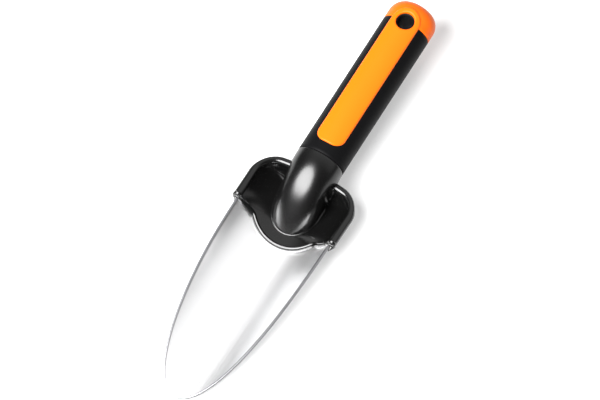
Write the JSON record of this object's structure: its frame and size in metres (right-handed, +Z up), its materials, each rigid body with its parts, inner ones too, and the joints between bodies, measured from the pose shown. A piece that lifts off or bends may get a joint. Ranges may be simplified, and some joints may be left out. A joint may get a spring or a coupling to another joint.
{
  "type": "hand trowel",
  "caption": "One-handed garden trowel with a deep round-pointed steel blade, a moulded black shoulder and neck, and a soft grip with a hanging hole.",
  "frame": {"origin": "middle of the tool's length and width, level with the underside of the shoulder that it rests on", "axes": "+X towards the blade's tip, +Y across the blade, +Z up out of the dish of the blade"},
  "size_m": [0.2982, 0.073, 0.0493],
  "materials": {
    "blade_steel": "polished",
    "moulding_black": "gloss",
    "soft_grip_black": "satin",
    "moulding_orange": "satin",
    "liner_black": "satin"
  },
  "bodies": {
    "root": {"blade": "blade_steel", "shoulder": "moulding_black", "neck_core": "moulding_black", "grip_sleeve": "soft_grip_black", "top_inlay": "moulding_orange", "end_cap": "moulding_orange", "hanging_hole_liner": "liner_black"}
  },
  "joints": []
}
